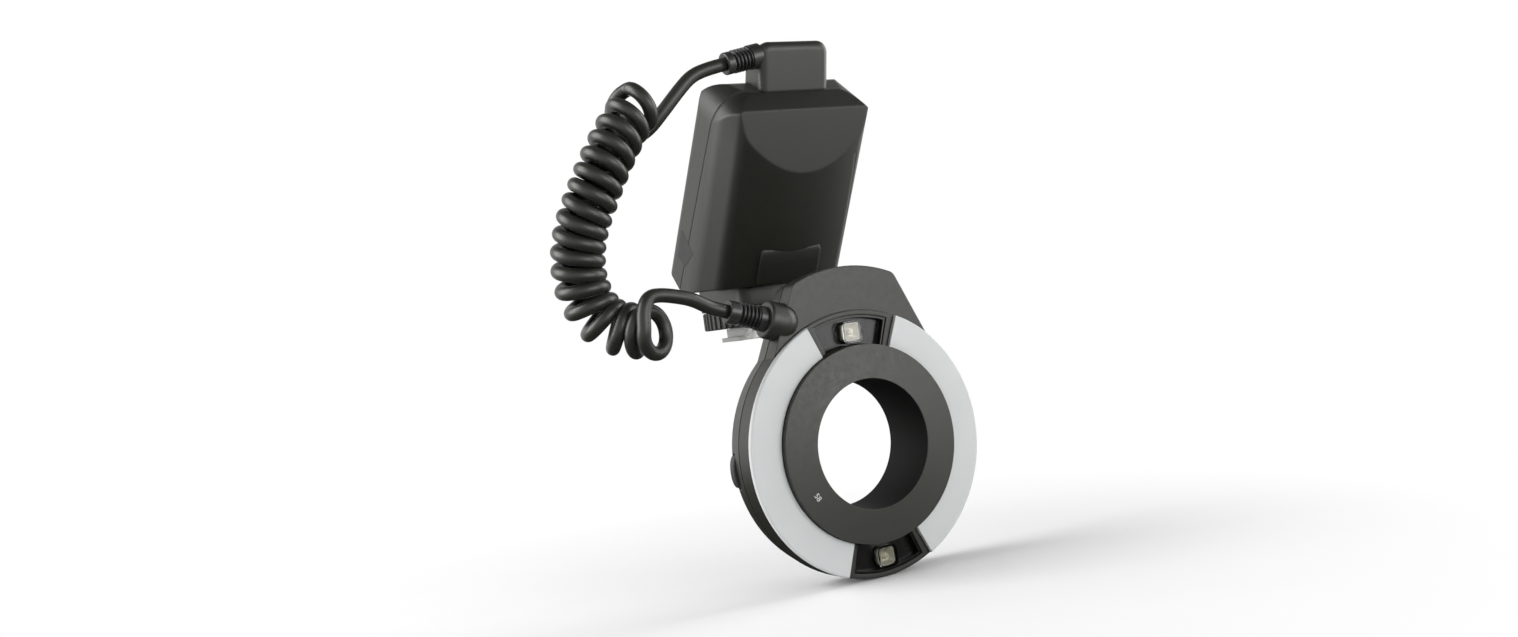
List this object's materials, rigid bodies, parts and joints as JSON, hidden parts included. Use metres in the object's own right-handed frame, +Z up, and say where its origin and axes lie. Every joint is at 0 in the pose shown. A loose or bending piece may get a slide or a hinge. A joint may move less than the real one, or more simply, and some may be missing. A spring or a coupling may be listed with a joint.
{
  "type": "macro ring flash",
  "caption": "Ring flash for close-up photography: round head with curved diffusers and a screw-in adapter ring, joined by a curly cord to a leaning shoe-mounted control unit.",
  "frame": {"origin": "centre of the shoe foot's underside", "axes": "+X to the right seen from the front, -Y the way the ring faces, +Z up along the shoe's normal"},
  "size_m": [0.1808, 0.1189, 0.2315],
  "materials": {
    "shell": "satin moulded",
    "cord_rubber": "satin",
    "boot_rubber": "matte",
    "end_ring": "satin",
    "annulus": "fine matte",
    "diffuser": "frosted",
    "bezel": "gloss",
    "clear": "clear",
    "lamp": "clear",
    "mirror_metal": "polished",
    "display": "smooth",
    "board": "smooth",
    "steel": "brushed",
    "foot": "satin",
    "contact": "plated",
    "inner_plastic": "moulded",
    "cell": "printed",
    "capacitor": "sleeved",
    "door": "satin moulded",
    "wheel": "ribbed",
    "controls": "satin",
    "mat": "matte"
  },
  "bodies": {
    "controller": {"front_shell": "shell", "rear_shell": "shell", "cable_block": "shell", "base_housing": "shell", "upper_collar": "shell", "cord_upper_lead": "cord_rubber", "cord_coil": "cord_rubber", "upper_strain_relief": "boot_rubber", "upper_end_ring": "end_ring", "lcd_window": "clear", "lcd_panel": "display", "main_board": "board", "controller_screws": "steel", "door_hinge_pin": "steel", "lock_stem": "steel", "shoe_foot": "foot", "shoe_contacts": "contact", "battery_contacts": "contact", "battery_cradle": "inner_plastic", "aa_cells": "cell", "flash_capacitor": "capacitor", "button_mat": "mat"},
    "head": {"head_front_shell": "shell", "head_rear_shell": "shell", "diffuser_left": "diffuser", "diffuser_right": "diffuser", "reflector_left": "mirror_metal", "reflector_right": "mirror_metal", "flash_tube_left": "lamp", "flash_tube_right": "lamp", "lamp_bezel_top": "bezel", "lamp_bezel_bottom": "bezel", "lamp_lens_top": "clear", "lamp_lens_bottom": "clear", "lamp_bulbs": "lamp", "head_board": "board", "head_screws": "steel", "cable_boss": "shell", "lower_collar": "shell", "lower_strain_relief": "boot_rubber", "lower_end_ring": "end_ring", "cord_lower_lead": "cord_rubber", "latch_blocks": "inner_plastic"},
    "lock_wheel": {"lock_wheel": "wheel"},
    "lock_pin": {"lock_pin": "steel"},
    "power_switch": {"power_switch": "controls"},
    "battery_door": {"battery_door": "door", "door_springs": "contact"},
    "adapter_ring": {"adapter_ring": "annulus"},
    "release_button_left": {"release_button_left": "controls"},
    "release_button_right": {"release_button_right": "controls"},
    "button_lamp": {"button_lamp": "controls"},
    "button_mode": {"button_mode": "controls"},
    "button_ratio": {"button_ratio": "controls"},
    "button_sync": {"button_sync": "controls"},
    "button_minus": {"button_minus": "controls"},
    "button_plus": {"button_plus": "controls"},
    "button_set": {"button_set": "controls"},
    "button_test": {"button_test": "controls"}
  },
  "joints": [
    {"name": "wheel_turn", "type": "hinge", "parent": "controller", "child": "lock_wheel", "pos_m": [0, 0, 0.0105], "axis": [0, 0, 1], "range_deg": [0, 150]},
    {"name": "pin_drop", "type": "slide", "parent": "controller", "child": "lock_pin", "axis": [0, 0, -1], "range_m": [0, 0.0018]},
    {"name": "switch_slide", "type": "slide", "parent": "controller", "child": "power_switch", "axis": [1, 0, 0], "range_m": [0, 0.005]},
    {"name": "door_swing", "type": "hinge", "parent": "controller", "child": "battery_door", "pos_m": [0.0352, -0.03982, 0.05821], "axis": [0, -0.5878, 0.809], "range_deg": [0, 90]},
    {"name": "head_reach", "type": "slide", "parent": "controller", "child": "head", "axis": [0, -1, 0], "range_m": [0, 0.04]},
    {"name": "adapter_turn", "type": "hinge", "parent": "head", "child": "adapter_ring", "pos_m": [0, -0.095, -0.049], "axis": [0, 1, 0], "continuous": true},
    {"name": "release_left_press", "type": "slide", "parent": "head", "child": "release_button_left", "axis": [1, 0, 0], "range_m": [0, 0.0016], "stiffness_N_per_m": 800},
    {"name": "release_right_press", "type": "slide", "parent": "head", "child": "release_button_right", "axis": [-1, 0, 0], "range_m": [0, 0.0016], "stiffness_N_per_m": 800},
    {"name": "lamp_press", "type": "slide", "parent": "controller", "child": "button_lamp", "axis": [0, -0.809, -0.5878], "range_m": [0, 0.0007], "stiffness_N_per_m": 600},
    {"name": "mode_press", "type": "slide", "parent": "controller", "child": "button_mode", "axis": [0, -0.809, -0.5878], "range_m": [0, 0.0007], "stiffness_N_per_m": 600},
    {"name": "ratio_press", "type": "slide", "parent": "controller", "child": "button_ratio", "axis": [0, -0.809, -0.5878], "range_m": [0, 0.0007], "stiffness_N_per_m": 600},
    {"name": "sync_press", "type": "slide", "parent": "controller", "child": "button_sync", "axis": [0, -0.809, -0.5878], "range_m": [0, 0.0007], "stiffness_N_per_m": 600},
    {"name": "minus_press", "type": "slide", "parent": "controller", "child": "button_minus", "axis": [0, -0.809, -0.5878], "range_m": [0, 0.0007], "stiffness_N_per_m": 600},
    {"name": "plus_press", "type": "slide", "parent": "controller", "child": "button_plus", "axis": [0, -0.809, -0.5878], "range_m": [0, 0.0007], "stiffness_N_per_m": 600},
    {"name": "set_press", "type": "slide", "parent": "controller", "child": "button_set", "axis": [0, -0.809, -0.5878], "range_m": [0, 0.0007], "stiffness_N_per_m": 600},
    {"name": "test_press", "type": "slide", "parent": "controller", "child": "button_test", "axis": [0, -0.809, -0.5878], "range_m": [0, 0.0007], "stiffness_N_per_m": 600}
  ],
  "couplings": [
    {"joint": "pin_drop", "follows": "wheel_turn", "m_per_rad": 0.00068748}
  ]
}
